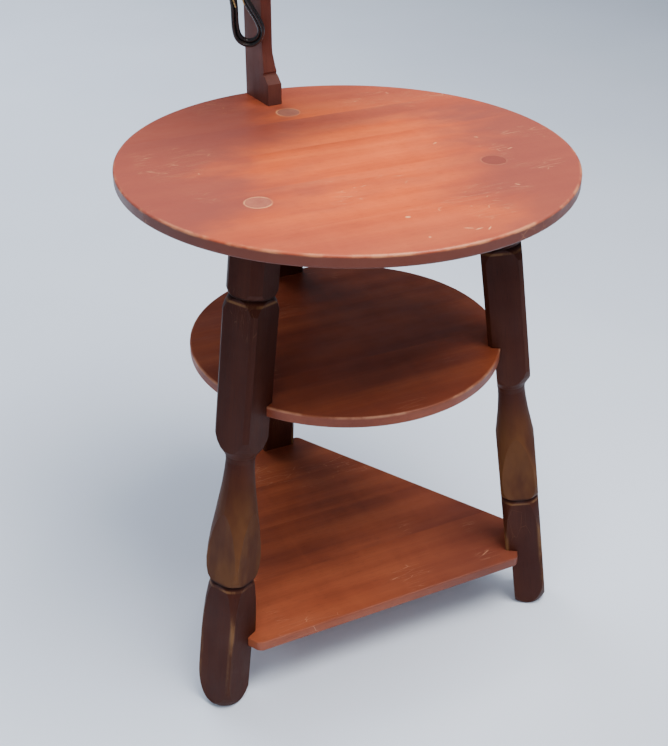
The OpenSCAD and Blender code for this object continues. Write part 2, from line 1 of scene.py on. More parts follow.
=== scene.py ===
# Looks for the three-legged lamp table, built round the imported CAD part. Lengths are in metres.
import math

import bmesh
import bpy
from mathutils import Matrix, Vector


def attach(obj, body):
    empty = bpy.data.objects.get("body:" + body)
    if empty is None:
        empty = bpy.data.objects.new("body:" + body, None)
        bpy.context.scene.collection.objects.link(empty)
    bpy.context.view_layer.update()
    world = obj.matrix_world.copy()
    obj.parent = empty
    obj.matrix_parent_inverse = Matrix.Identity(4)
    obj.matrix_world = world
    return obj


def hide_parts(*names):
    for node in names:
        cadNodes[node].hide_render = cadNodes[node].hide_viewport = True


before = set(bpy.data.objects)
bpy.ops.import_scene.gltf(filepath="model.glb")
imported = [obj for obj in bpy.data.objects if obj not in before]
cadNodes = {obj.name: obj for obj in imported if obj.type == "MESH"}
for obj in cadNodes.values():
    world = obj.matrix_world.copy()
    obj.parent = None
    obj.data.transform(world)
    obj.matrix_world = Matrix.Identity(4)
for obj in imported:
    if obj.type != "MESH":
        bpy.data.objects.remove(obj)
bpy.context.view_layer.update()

# Places and sizes that the pieces share with the CAD part
table = {
    "topHeight": 0.737, "midHeight": 0.470, "midRadius": 0.222,
    "lowHeight": 0.107, "shelfThick": 0.016,
    "legAngles": {"left": 210, "right": 330, "rear": 90},
    "sideLean": {"left": -0.54, "right": 0.0, "rear": 0.0},
    "legTop": 0.192, "legLean": math.atan(0.109 / 0.737),
}
postPlace = {"shift": -0.0042, "radius": 0.2296, "turn": math.radians(4.4), "midX": -0.00275, "lampY": -0.140}
hankPlace = {"spot": (-0.0427, 0.0235, 0.157), "turn": math.radians(-25.9 - 4.4), "lean": math.radians(-16)}
postFrame = (Matrix.Translation((postPlace["shift"], postPlace["radius"], table["topHeight"]))
             @ Matrix.Rotation(postPlace["turn"], 4, "Z"))
lampFrame = postFrame @ Matrix.Translation((postPlace["midX"], postPlace["lampY"], 0))
hankFrame = (postFrame @ Matrix.Translation(hankPlace["spot"])
             @ Matrix.Rotation(hankPlace["turn"], 4, "Z") @ Matrix.Rotation(hankPlace["lean"], 4, "Y"))
print("stage: frame loaded")


# Camera
cameraLook = {"place": (-0.64751, -1.29732, 1.28199), "target": (-0.01421, 0.00690, 0.4022), "roll": 0.005,
              "lens": 55.83}


def makeCamera(look):
    data = bpy.data.cameras.new("camera")
    data.lens, data.sensor_width = look["lens"], 36.0
    data.clip_end = 50.0
    camera = bpy.data.objects.new("camera", data)
    bpy.context.scene.collection.objects.link(camera)
    ahead = (Vector(look["target"]) - Vector(look["place"])).normalized()
    side = ahead.cross(Vector((0, 0, 1))).normalized()
    over = side.cross(ahead)
    c, s = math.cos(look["roll"]), math.sin(look["roll"])
    right, up = side * c + over * s, over * c - side * s
    turn = Matrix((right, up, -ahead)).transposed().to_4x4()
    camera.matrix_world = Matrix.Translation(look["place"]) @ turn
    bpy.context.scene.camera = camera


makeCamera(cameraLook)


# Helpers for meshes
def addObject(name, mesh):
    made = bpy.data.objects.new(name, mesh)
    bpy.context.scene.collection.objects.link(made)
    return made


def meshFrom(name, points, faces):
    mesh = bpy.data.meshes.new(name)
    mesh.from_pydata([tuple(p) for p in points], [], faces)
    mesh.update()
    return mesh


def smoothBy(obj, degrees):
    # faces that meet at less than this angle shade as one surface
    mesh = obj.data
    mesh.shade_smooth()
    b = bmesh.new()
    b.from_mesh(mesh)
    for e in b.edges:
        e.smooth = not (len(e.link_faces) == 2 and e.calc_face_angle(0) > math.radians(degrees))
    b.to_mesh(mesh)
    b.free()


def lathe(name, profile, steps, place, closed=True):
    # profile is (radius, height) points from the bottom pole up; place turns it into the row frame
    b = bmesh.new()
    rings = []
    for r, z in profile:
        if r < 1e-6:
            rings.append([b.verts.new((0, 0, z))])
        else:
            rings.append([b.verts.new((r * math.cos(2 * math.pi * k / steps),
                                       r * math.sin(2 * math.pi * k / steps), z)) for k in range(steps)])
    loops = list(zip(rings, rings[1:]))
    if not closed:
        loops.append((rings[-1], rings[0]))
    for low, high in loops:
        for k in range(steps):
            n = (k + 1) % steps
            if len(low) == 1:
                b.faces.new((low[0], high[n], high[k]))
            elif len(high) == 1:
                b.faces.new((low[k], low[n], high[0]))
            else:
                b.faces.new((low[k], low[n], high[n], high[k]))
    bmesh.ops.recalc_face_normals(b, faces=b.faces)
    b.transform(place)
    mesh = bpy.data.meshes.new(name)
    b.to_mesh(mesh)
    b.free()
    return addObject(name, mesh)


def applied(obj):
    # the evaluated object as a plain mesh, with no modifier left
    deps = bpy.context.evaluated_depsgraph_get()
    mesh = bpy.data.meshes.new_from_object(obj.evaluated_get(deps), depsgraph=deps)
    obj.modifiers.clear()
    old, obj.data = obj.data, mesh
    mesh.name = obj.name
    bpy.data.meshes.remove(old)
    return obj


def softCopy(cadName, name, width, keep, segments=2, angle=30):
    # a merged copy of a CAD node with its sharp outer edges rounded over
    b = bmesh.new()
    b.from_mesh(cadNodes[cadName].data)
    bmesh.ops.remove_doubles(b, verts=b.verts, dist=2e-5)
    bmesh.ops.dissolve_limit(b, angle_limit=math.radians(0.6), verts=b.verts, edges=b.edges)
    b.normal_update()
    edges = [e for e in b.edges if len(e.link_faces) == 2 and e.calc_face_angle(0) > math.radians(angle)
             and keep(e.verts[0].co, e.verts[1].co)]
    bmesh.ops.bevel(b, geom=edges, offset=width, offset_type="OFFSET", segments=segments, profile=0.6,
                    affect="EDGES", clamp_overlap=True)
    mesh = bpy.data.meshes.new(name)
    b.to_mesh(mesh)
    b.free()
    made = addObject(name, mesh)
    smoothBy(made, 28)
    return made


def finishPiece(piece, body, slot, *replaced):
    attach(piece, body)
    if replaced:
        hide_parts(*replaced)
    return piece


# Cord
cordLook = {
    "diameter": 0.005, "outletHeight": 0.283, "step": 0.0025,
    "run": 0.100, "rings": (0.020, 0.015), "layer": 0.0055, "waistDraw": 0.0095, "waist": (0.0, 0.018),
    "first": 0.37, "last": 5.28,
}
# Both routes in millimetres: the first in the post's frame above the outlet, the second in the hank's frame
cordRoute = [(-27, 26, 0), (-30, 26, 0), (-34, 26, -0.6), (-37.6, 25.8, -2.4), (-40.8, 25.3, -5.8),
             (-42.9, 24.8, -10.4), (-43.7, 24.3, -16), (-43.5, 24, -23), (-42.8, 24.4, -31), (-42, 25.3, -39),
             (-41, 26, -47), (-39.7, 26.5, -55), (-38.1, 26.7, -63), (-36.1, 26.3, -71)]
tailRoute = [(10.6, -6.5, 60.5), (12.4, -8.6, 57.6), (12.6, -11, 54), (11, -13.2, 50),
             (8, -14.6, 45.8), (4.6, -15, 41.4), (2, -15, 37.2), (1, -15, 31)]


def smoothStep(t):
    t = min(1.0, max(0.0, t))
    return t * t * (3 - 2 * t)


def hankPoint(phase, ring, layer, look):
    # phase counts turns from the middle of the left run, rising first over the upper lobe
    half = look["run"] / 2
    whole = 2 * look["run"] + 2 * math.pi * ring
    s = (phase % 1.0) * whole
    if s < half:
        x, z = -ring, s
    elif s < half + math.pi * ring:
        a = math.pi - (s - half) / ring
        x, z = ring * math.cos(a), half + ring * math.sin(a)
    elif s < 3 * half + math.pi * ring:
        x, z = ring, half - (s - half - math.pi * ring)
    elif s < 3 * half + 2 * math.pi * ring:
        a = -(s - 3 * half - math.pi * ring) / ring
        x, z = ring * math.cos(a), -half + ring * math.sin(a)
    else:
        x, z = -ring, -half + (s - 3 * half - 2 * math.pi * ring)
    low, high = look["waist"]
    nip = smoothStep((z + half) / (low + half)) * smoothStep((half - z) / (half - high))
    if abs(z) < half:
        x -= math.copysign(nip * look["waistDraw"], x)
    return Vector((x, layer, z))


def hankTurns(look, first, last):
    outer, inner = look["rings"]
    d = look["layer"]
    plan = [(outer, d), (inner, d), (inner, 0), (outer, 0), (outer, -d), (inner, -d), (inner, -d)]
    points = []
    count = int((last - first) * 120)
    for i in range(count + 1):
        p = first + (last - first) * i / count
        step = p - first
        k = min(int(step), len(plan) - 2)
        t = smoothStep((step - k - 0.55) / 0.45)
        ring = plan[k][0] * (1 - t) + plan[k + 1][0] * t
        layer = plan[k][1] * (1 - t) + plan[k + 1][1] * t
        points.append(hankPoint(p, ring, layer, look))
    return points


def evenly(points, step):
    # a smooth curve through the points, cut into equal short steps
    pts = [points[0]] + list(points) + [points[-1]]
    dense = []
    for a, b, c, d in zip(pts, pts[1:], pts[2:], pts[3:]):
        n = max(2, int((c - b).length / (step / 3)))
        for k in range(n):
            t = k / n
            dense.append(0.5 * (2 * b + (c - a) * t + (2 * a - 5 * b + 4 * c - d) * t * t
                                + (3 * b - a - 3 * c + d) * t ** 3))
    dense.append(points[-1])
    out, left = [dense[0]], step
    for a, b in zip(dense, dense[1:]):
        gap = (b - a).length
        while gap >= left:
            a = a + (b - a) * (left / gap)
            gap -= left
            left = step
            out.append(a)
        left -= gap
    out.append(dense[-1])
    return out


def cordPath(look):
    outlet = postFrame @ Matrix.Translation((0, 0, look["outletHeight"]))
    free = [outlet @ (Vector(p) / 1000) for p in cordRoute]
    turns = [hankFrame @ p for p in hankTurns(look, look["first"], look["last"])]
    tail = [hankFrame @ (Vector(p) / 1000) for p in tailRoute]
    return evenly(free + turns[3:] + tail[1:], look["step"])


path = cordPath(cordLook)


# Helpers for materials
def setIn(tree, made, values):
    for key, value in values.items():
        socket = made.inputs[key]
        if isinstance(value, bpy.types.NodeSocket):
            tree.links.new(value, socket)
        else:
            socket.default_value = value
    return made


def put(tree, kind, values=None, **settings):
    made = tree.nodes.new(kind)
    for key, value in settings.items():
        setattr(made, key, value)
    return setIn(tree, made, values or {})


def maths(tree, operation, a, b=0.5, c=0.5):
    return put(tree, "ShaderNodeMath", {0: a, 1: b, 2: c}, operation=operation).outputs[0]


def noiseAt(tree, point, stretch, scale=1.0, detail=4.0, rough=0.55, bend=0.0):
    # noise on a stretched copy of the point; a small stretch along the grain makes long streaks
    moved = put(tree, "ShaderNodeMapping", {"Vector": point, "Scale": stretch})
    return put(tree, "ShaderNodeTexNoise", {"Vector": moved.outputs[0], "Scale": scale, "Detail": detail,
                                            "Roughness": rough, "Distortion": bend}).outputs["Fac"]


def remap(tree, value, a, b, low=0.0, high=1.0):
    return put(tree, "ShaderNodeMapRange", {"Value": value, 1: a, 2: b, 3: low, 4: high},
               interpolation_type="SMOOTHSTEP").outputs[0]


def ramp(tree, value, stops):
    made = put(tree, "ShaderNodeValToRGB", {"Fac": value})
    line = made.color_ramp
    while len(line.elements) < len(stops):
        line.elements.new(0.5)
    for element, (place, colour) in zip(line.elements, stops):
        element.position, element.color = place, (*colour, 1)
    return made.outputs["Color"]


def mixed(tree, share, a, b):
    made = put(tree, "ShaderNodeMix", data_type="RGBA", blend_type="MIX")
    for socket, value in ((made.inputs[0], share), (made.inputs[6], a), (made.inputs[7], b)):
        if isinstance(value, bpy.types.NodeSocket):
            tree.links.new(value, socket)
        else:
            socket.default_value = (*value, 1) if isinstance(value, tuple) else value
    return made.outputs[2]


def nearSpot(tree, point, spot, size, turn=0.0):
    # 1 in the middle of a small ellipse on a surface, 0 outside it
    moved = put(tree, "ShaderNodeMapping",
                {"Vector": point, "Location": spot, "Rotation": (0, 0, turn), "Scale": size},
                vector_type="TEXTURE")
    far = put(tree, "ShaderNodeVectorMath", {0: moved.outputs[0]}, operation="LENGTH").outputs["Value"]
    return remap(tree, far, 1.0, 0.55)


def newMaterial(name):
    made = bpy.data.materials.new(name)
    made.use_nodes = True
    tree = made.node_tree
    shader = tree.nodes["Principled BSDF"]
    point = put(tree, "ShaderNodeTexCoord").outputs["Object"]
    return made, tree, shader, point


def bumped(tree, shader, height, depth):
    made = put(tree, "ShaderNodeBump", {"Height": height, "Distance": depth, "Strength": 1.0})
    tree.links.new(made.outputs[0], shader.inputs["Normal"])


# Looks of the metals, plastics and papers
def plainMaterial(name, look):
    made, tree, shader, point = newMaterial(name)
    spread, grain = look.get("spread", 30.0), look.get("grain", 600.0)
    cloud = noiseAt(tree, point, (spread, spread, spread), 1.0, 4.0, 0.6)
    fine = noiseAt(tree, point, (grain, grain, grain * look.get("stretch", 1.0)), 1.0, 3.0, 0.6)
    tone = maths(tree, "MULTIPLY_ADD", fine, 0.35, maths(tree, "MULTIPLY", cloud, 0.65))
    colour = ramp(tree, tone, [(0.36, look["dark"]), (0.62, look["light"])])
    if "spot" in look:
        spots = remap(tree, noiseAt(tree, point, (140.0, 140.0, 140.0), 1.0, 5.0, 0.7), 0.60, 0.70, 0.0, 0.7)
        colour = mixed(tree, spots, colour, look["spot"])
    setIn(tree, shader, {"Base Color": colour, "Roughness": remap(tree, tone, 0.35, 0.65, *look["rough"])})
    for key, value in look.get("fixed", {}).items():
        shader.inputs[key].default_value = value
    bumped(tree, shader, fine, look.get("bump", 0.00004))
    return made


finishes = {
    "aged brass": {"dark": (0.36, 0.22, 0.07), "light": (0.58, 0.39, 0.14), "spot": (0.16, 0.09, 0.03),
                   "rough": (0.28, 0.48),
                   "fixed": {"Metallic": 1.0}},
    "contact brass": {"dark": (0.62, 0.42, 0.16), "light": (0.80, 0.58, 0.24), "rough": (0.20, 0.34),
                      "fixed": {"Metallic": 1.0}},
    "screw steel": {"dark": (0.30, 0.30, 0.31), "light": (0.46, 0.46, 0.47), "spot": (0.12, 0.09, 0.07),
                    "rough": (0.34, 0.55),
                    "fixed": {"Metallic": 1.0}},
    "cap aluminium": {"dark": (0.58, 0.58, 0.60), "light": (0.74, 0.74, 0.75), "rough": (0.26, 0.42),
                      "fixed": {"Metallic": 1.0}},
    "core plastic": {"dark": (0.010, 0.009, 0.008), "light": (0.020, 0.017, 0.014), "rough": (0.45, 0.62)},
    "knob plastic": {"dark": (0.008, 0.007, 0.006), "light": (0.016, 0.012, 0.010), "rough": (0.22, 0.34),
                     "fixed": {"Coat Weight": 0.3}},
    "cord vinyl": {"dark": (0.010, 0.009, 0.010), "light": (0.024, 0.021, 0.021), "rough": (0.24, 0.40),
                   "spread": 18.0,
                   "fixed": {"Coat Weight": 0.35, "Coat Roughness": 0.18}, "bump": 0.00006},
    "plug vinyl": {"dark": (0.011, 0.010, 0.010), "light": (0.022, 0.020, 0.019), "rough": (0.42, 0.58)},
    "tie plastic": {"dark": (0.012, 0.012, 0.012), "light": (0.026, 0.025, 0.024), "rough": (0.34, 0.48)},
    "bare dowel": {"dark": (0.34, 0.19, 0.09), "light": (0.52, 0.33, 0.17), "rough": (0.55, 0.72),
                   "stretch": 0.2},
    "frosted glass": {"dark": (0.84, 0.83, 0.79), "light": (0.93, 0.92, 0.89), "rough": (0.30, 0.42),
                      "fixed": {"Transmission Weight": 0.55, "IOR": 1.45, "Subsurface Weight": 0.2,
                                "Subsurface Scale": 0.01}},
    "trim tape": {"dark": (0.30, 0.19, 0.09), "light": (0.42, 0.28, 0.14), "rough": (0.72, 0.86),
                  "bump": 0.00012},
    "lacing thread": {"dark": (0.24, 0.14, 0.06), "light": (0.36, 0.23, 0.11), "rough": (0.75, 0.88),
                      "bump": 0.00010},
}
finish = {name: plainMaterial(name, look) for name, look in finishes.items()}


def parchment():
    # mottled, fibrous sheet, a little browner towards its rims
    made, tree, shader, point = newMaterial("parchment")
    mottle = noiseAt(tree, point, (16.0, 16.0, 16.0), 1.0, 5.0, 0.6, 0.5)
    veins = noiseAt(tree, point, (60.0, 60.0, 30.0), 1.0, 6.0, 0.7, 1.6)
    fibre = noiseAt(tree, point, (500.0, 500.0, 160.0), 1.0, 3.0, 0.6)
    tone = maths(tree, "MULTIPLY_ADD", veins, 0.4, maths(tree, "MULTIPLY", mottle, 0.6))
    colour = ramp(tree, tone,
                  [(0.36, (0.50, 0.36, 0.18)), (0.52, (0.66, 0.51, 0.29)), (0.68, (0.75, 0.62, 0.39))])
    height = put(tree, "ShaderNodeSeparateXYZ", {0: point}).outputs[2]
    low, high = shadeLook["lowZ"] + table["topHeight"], shadeLook["topZ"] + table["topHeight"]
    rims = maths(tree, "MAXIMUM", remap(tree, height, low + 0.020, low, 0.0, 0.35),
                 remap(tree, height, high - 0.020, high, 0.0, 0.35))
    colour = mixed(tree, rims, colour, (0.40, 0.26, 0.11))
    setIn(tree, shader, {"Base Color": colour, "Roughness": remap(tree, veins, 0.3, 0.7, 0.48, 0.66)})
    shader.inputs["Subsurface Weight"].default_value = 0.15
    shader.inputs["Subsurface Scale"].default_value = 0.004
    bumped(tree, shader, maths(tree, "MULTIPLY_ADD", fibre, 0.4, veins), 0.00012)
    return made


# Node trees for what repeats
def newTree(name, sizes):
    tree = bpy.data.node_groups.new(name, "GeometryNodeTree")
    tree.interface.new_socket("Geometry", in_out="OUTPUT", socket_type="NodeSocketGeometry")
    for label, value in sizes.items():
        kind = "NodeSocketInt" if isinstance(value, int) else "NodeSocketFloat"
        if label == "Material":
            kind = "NodeSocketMaterial"
        tree.interface.new_socket(label, in_out="INPUT", socket_type=kind)
    given = tree.nodes.new("NodeGroupInput").outputs
    return tree, given, tree.nodes.new("NodeGroupOutput")


def closeTree(tree, given, out, shape):
    real = put(tree, "GeometryNodeRealizeInstances", {0: shape})
    dressed = put(tree, "GeometryNodeSetMaterial", {"Geometry": real.outputs[0], "Material": given["Material"]})
    tree.links.new(dressed.outputs[0], out.inputs[0])
    return tree


def ringTree(sizes):
    # equal rods round a circle in the XY plane, each leaning from the upright by Lean
    tree, given, out = newTree("rods round a ring", sizes)
    spots = put(tree, "GeometryNodeMeshCircle", {"Vertices": given["Count"], "Radius": given["Ring Radius"]})
    rod = put(tree, "GeometryNodeMeshCylinder",
              {"Vertices": given["Sides"], "Side Segments": 1, "Radius": given["Rod Radius"],
                                                 "Depth": given["Rod Length"]})
    lean = put(tree, "ShaderNodeCombineXYZ", {"X": given["Lean"], "Y": given["Slope"]}).outputs[0]
    place = put(tree, "GeometryNodeInputPosition").outputs[0]
    face = put(tree, "FunctionNodeAlignRotationToVector", {"Vector": place}, axis="X").outputs[0]
    whole = put(tree, "FunctionNodeRotateRotation",
                {0: face, 1: put(tree, "FunctionNodeEulerToRotation", {0: lean}).outputs[0]},
                rotation_space="LOCAL").outputs[0]
    laid = put(tree, "GeometryNodeInstanceOnPoints",
               {"Points": spots.outputs[0], "Instance": rod.outputs[0], "Rotation": whole})
    return closeTree(tree, given, out, laid.outputs[0])


def threadTree(sizes):
    # one rounded screw thread that climbs along Z
    tree, given, out = newTree("screw thread", sizes)
    coil = put(tree, "GeometryNodeCurveSpiral",
               {"Resolution": 40, "Rotations": given["Turns"], "Start Radius": given["Radius"],
                                                 "End Radius": given["Radius"], "Height": given["Height"]})
    edge = put(tree, "GeometryNodeCurvePrimitiveCircle", {"Resolution": 8, "Radius": given["Rod Radius"]})
    swept = put(tree, "GeometryNodeCurveToMesh",
                {"Curve": coil.outputs[0], "Profile Curve": edge.outputs[0], "Fill Caps": True})
    return closeTree(tree, given, out, swept.outputs[0])


def grown(name, tree, sizes, place):
    # the tree's result as a plain mesh, set in its place
    made = addObject(name, bpy.data.meshes.new(name))
    modifier = made.modifiers.new("grow", "NODES")
    modifier.node_group = tree
    for item in tree.interface.items_tree:
        if item.in_out == "INPUT":
            modifier[item.identifier] = sizes[item.name]
    applied(made)
    made.data.transform(place)
    if place.determinant() < 0:
        made.data.flip_normals()
    return made


def joined(name, parts):
    # one mesh of several objects, each keeping its own material
    b = bmesh.new()
    mesh = bpy.data.meshes.new(name)
    for i, part in enumerate(parts):
        before = len(b.faces)
        b.from_mesh(part.data)
        b.faces.ensure_lookup_table()
        for face in b.faces[before:]:
            face.material_index = i
        mesh.materials.append(next(made for made in part.data.materials if made))
        bpy.data.objects.remove(part)
    b.to_mesh(mesh)
    b.free()
    return addObject(name, mesh)


ringSizes = {"Count": 12, "Ring Radius": 0.1, "Sides": 8, "Rod Radius": 0.001, "Rod Length": 0.01,
             "Lean": 0.0, "Slope": 0.0, "Material": None}
threadSizes = {"Turns": 5.0, "Radius": 0.0125, "Height": 0.016, "Rod Radius": 0.0011, "Material": None}
rods, thread = ringTree(ringSizes), threadTree(threadSizes)
print("stage: finishes and node trees")


# Cord, its sleeve, tie and plug
def cordCurve(points, look):
    data = bpy.data.curves.new("lampCord", "CURVE")
    data.dimensions = "3D"
    data.bevel_depth, data.bevel_resolution, data.use_fill_caps = look["diameter"] / 2, 3, True
    line = data.splines.new("POLY")
    line.points.add(len(points) - 1)
    for spot, p in zip(line.points, points):
        spot.co = (*p, 1)
    made = bpy.data.objects.new("lampCord", data)
    bpy.context.scene.collection.objects.link(made)
    data.materials.append(finish["cord vinyl"])
    return made


lampCord = cordCurve(path, cordLook)
finishPiece(lampCord, "table", "cord_plastic", "cord", "cord_hank", "cord_tail")

sleeveLook = {"big": 0.0070, "tip": 0.0034, "out": 0.016, "in": 0.006, "plug": 0.0055, "bore": 0.0026,
              "ribs": 5, "ribHeight": 0.0006,
              "side": -0.01115}


def sleevePiece(look):
    outer = [(look["plug"], -look["in"]), (look["plug"], -0.0002), (look["big"], 0.0)]
    for i in range(look["ribs"] * 6 + 1):
        t = i / (look["ribs"] * 6)
        r = (look["big"] + (look["tip"] - look["big"]) * t
             + look["ribHeight"] * 0.5 * (math.cos(2 * math.pi * look["ribs"] * t) - 1))
        outer.append((max(r, look["tip"] - 0.0003), 0.0006 + (look["out"] - 0.001) * t))
    outer += [(look["tip"] - 0.0003, look["out"]), (look["bore"], look["out"]), (look["bore"], -look["in"])]
    place = postFrame @ Matrix.Translation((look["side"], 0.026,
                                            cordLook["outletHeight"])) @ Matrix.Rotation(-math.pi / 2, 4, "Y")
    made = lathe("cordSleeve", outer, 40, place, closed=False)
    smoothBy(made, 40)
    made.data.materials.append(finish["plug vinyl"])
    return finishPiece(made, "table", "cord_plastic", "cord_sleeve")


cordSleeve = sleevePiece(sleeveLook)
plugLook = {"spot": (0.001, -0.01495, 0.004), "edge": 0.0022, "grips": 4, "gripX": 0.0119, "gripZ": 0.0085,
            "gripStep": 0.0034, "gripRadius": 0.001, "gripStretch": (0.75, 4.2, 1.0)}
tieLook = {"edge": 0.0005}
plugBack = (hankFrame @ Matrix.Translation(plugLook["spot"])).inverted()


def anyEdge(a, b):
    return True


def plugEdge(a, b):
    # the moulding's outer arrises, not the slots round the blades
    p, q = plugBack @ a, plugBack @ b
    middle = (p + q) / 2
    return not (middle.z < 0.0061 and abs(middle.y) < 0.0036 and abs(middle.x) < 0.0085)


plugBody = softCopy("plug_body", "plugBody", plugLook["edge"], plugEdge, 4, 40)
plugBody.data.materials.append(finish["plug vinyl"])
grips = []
for side in (-1, 1):
    for k in range(plugLook["grips"]):
        # moulded finger ribs on both narrow sides
        b = bmesh.new()
        bmesh.ops.create_uvsphere(b, u_segments=14, v_segments=8, radius=plugLook["gripRadius"])
        plugX, plugY, _ = plugLook["spot"]
        spot = (plugX + side * plugLook["gripX"], plugY, plugLook["gripZ"] + k * plugLook["gripStep"])
        b.transform(hankFrame @ Matrix.Translation(spot) @ Matrix.Diagonal((*plugLook["gripStretch"], 1.0)))
        mesh = bpy.data.meshes.new("grip")
        b.to_mesh(mesh)
        b.free()
        mesh.shade_smooth()
        mesh.materials.append(finish["plug vinyl"])
        grips.append(addObject("grip", mesh))
plugBody = joined("plugMoulding", [plugBody] + grips)
finishPiece(plugBody, "table", "plug_plastic", "plug_body")
hankTie = softCopy("cord_tie", "hankTie", tieLook["edge"], anyEdge, 2, 40)
hankTie.data.materials.append(finish["tie plastic"])
finishPiece(hankTie, "table", "tie_plastic", "cord_tie")
print("stage: cord, sleeve, tie and plug")


# Lamp holder, switch, bulb and shade
lampLook = {"knobZ": 0.472, "baseTop": 0.463, "baseHeight": 0.024, "baseRadius": 0.0129}
switchLook = {"start": 0.0205, "length": 0.011, "radius": 0.0056, "ribs": 24, "ribRadius": 0.0008,
              "domed": 0.0012}
bulbLook = {"radius": 0.030, "length": 0.074, "turns": 5.5, "pitch": 0.0032, "rod": 0.0010}
shadeLook = {"lowRadius": 0.130, "topRadius": 0.062, "height": 0.170, "wall": 0.0010, "tape": 0.008,
             "tapeOut": 0.0006,
             "stitches": 96, "stitch": 0.0005, "lowZ": 0.336, "topZ": 0.506}


def lampPart(name, profile, steps, place, made, closed=True, angle=35):
    piece = lathe(name, profile, steps, place, closed)
    smoothBy(piece, angle)
    piece.data.materials.append(made)
    return piece


def switchKnob(look):
    r, long, end = look["radius"], look["length"], look["domed"]
    bore = 0.00201
    profile = [(0, 0.0095), (bore, 0.0095), (bore, 0), (r - 0.0005, 0), (r, 0.0005), (r, long - end),
               (r - 0.0006, long - 0.5 * end),
               (r - 0.0020, long - 0.1 * end), (r * 0.3, long), (0, long)]
    place = lampFrame @ Matrix.Translation((look["start"], 0,
                                            lampLook["knobZ"])) @ Matrix.Rotation(math.pi / 2, 4, "Y")
    knob = lampPart("knobBody", profile, 48, place, finish["knob plastic"])
    ribs = grown("knobRibs", rods, dict(ringSizes, Count=look["ribs"], Material=finish["knob plastic"],
                                        **{"Ring Radius": r, "Rod Radius": look["ribRadius"],
                                           "Rod Length": long - 0.0026}),
                 place @ Matrix.Translation((0, 0, long / 2 - 0.0004)))
    return finishPiece(joined("switchKnob", [knob, ribs]), "switch", "knob_plastic", "switch_knob")


def bulbPieces(look):
    low = lampLook["baseTop"] - lampLook["baseHeight"]
    middle = low - look["length"] + 1.05 * look["radius"]
    profile = [(0, middle - look["radius"])]
    profile += [(look["radius"] * math.cos(math.radians(a)),
                 middle + look["radius"] * math.sin(math.radians(a))) for a in range(-84, 37, 6)]
    profile += [(r / 1000, low + z / 1000) for r,
                z in ((21.6, -20.6), (18.9, -15.8), (16.6, -11.0), (14.8, -6.4), (13.5, -2.8), (12.2, -0.2),
                      (0, -0.2))]
    glass = lampPart("bulbGlass", profile, 64, lampFrame, finish["frosted glass"], angle=50)
    finishPiece(glass, "table", "bulb_glass", "bulb_glass")
    r, top = lampLook["baseRadius"] - look["rod"], lampLook["baseTop"]
    cap = lampPart("capBody",
                   [(0, low), (r, low), (r, top - 0.0034), (r - 0.0022, top - 0.0022),
                    (0.0062, top - 0.0008), (0.0040, top), (0, top)],
                   48, lampFrame, finish["cap aluminium"])
    screw = grown("capThread", thread,
                  dict(threadSizes, Turns=look["turns"], Radius=r, Height=look["turns"] * look["pitch"],
                                            Material=finish["cap aluminium"], **{"Rod Radius": look["rod"]}),
                  lampFrame @ Matrix.Translation((0, 0, low + 0.0015)))
    screw.data.shade_smooth()
    finishPiece(joined("bulbCap", [cap, screw]), "table", "bulb_cap", "bulb_base")


def shadePieces(look):
    low, top, wall = look["lowZ"], look["topZ"], look["wall"]
    slope = (look["lowRadius"] - look["topRadius"]) / look["height"]
    at = lambda z, out=0.0: (look["lowRadius"] - slope * (z - low) + out, z)
    paper = parchment()
    rows = [low + (top - low) * k / 24 for k in range(25)]
    skin = lampPart("shadePaper", [at(z) for z in rows] + [at(z, -wall) for z in reversed(rows)], 144,
                    lampFrame, paper, closed=False)
    # the glued lap of the sheet, down the side away from the table
    lap = bmesh.new()
    loops = []
    for z in rows:
        r = at(z)[0]
        turns = [1.35 + w / r for w in (-0.0055, -0.0050, 0.0050, 0.0055)]
        outs = (-0.0002, 0.0004, 0.0004, -0.0002)
        loops.append([lap.verts.new(((r + o) * math.cos(t), (r + o) * math.sin(t), z)) for t,
                      o in zip(turns, outs)])
    for a, b in zip(loops, loops[1:]):
        for k in range(4):
            lap.faces.new((a[k], a[(k + 1) % 4], b[(k + 1) % 4], b[k]))
    lap.faces.new(loops[0])
    lap.faces.new(loops[-1])
    bmesh.ops.recalc_face_normals(lap, faces=lap.faces)
    lap.transform(lampFrame)
    mesh = bpy.data.meshes.new("lap")
    lap.to_mesh(mesh)
    lap.free()
    mesh.materials.append(paper)
    parts = [skin, addObject("lap", mesh)]
    # folded tape over both rims, laced down with thread
    for z, way in ((low, 1), (top, -1)):
        out, inn, far = look["tapeOut"], -wall - look["tapeOut"], z + way * look["tape"]
        loop = [at(far, 0.0), at(far - way * 0.0005, out), at(z + way * 0.0008, out),
                at(z - way * 0.0004, 0.0), at(z - way * 0.0004, -wall),
                at(z + way * 0.0008, inn), at(far - way * 0.0005, inn), at(far, -wall)]
        parts.append(lampPart("tape", loop, 144, lampFrame, finish["trim tape"], closed=False, angle=60))
        mid = z + way * look["tape"] * 0.52
        parts.append(grown("lacing", rods,
                           dict(ringSizes, Count=look["stitches"] if way > 0 else look["stitches"] // 2,
                                Sides=6, Lean=0.6,
                                                Slope=-math.atan(slope), Material=finish["lacing thread"],
                                                **{"Ring Radius": at(mid)[0] + out + 0.0002,
                                                   "Rod Radius": look["stitch"],
                                                   "Rod Length": look["tape"] * 0.92}),
                           lampFrame @ Matrix.Translation((0, 0, mid))))
    finishPiece(joined("lampShade", parts), "table", "shade_paper", "shade_skin")


switchKnob(switchLook)
bulbPieces(bulbLook)
shadePieces(shadeLook)


def dress(cadName, made):
    mesh = cadNodes[cadName].data
    mesh.materials.clear()
    mesh.materials.append(made)


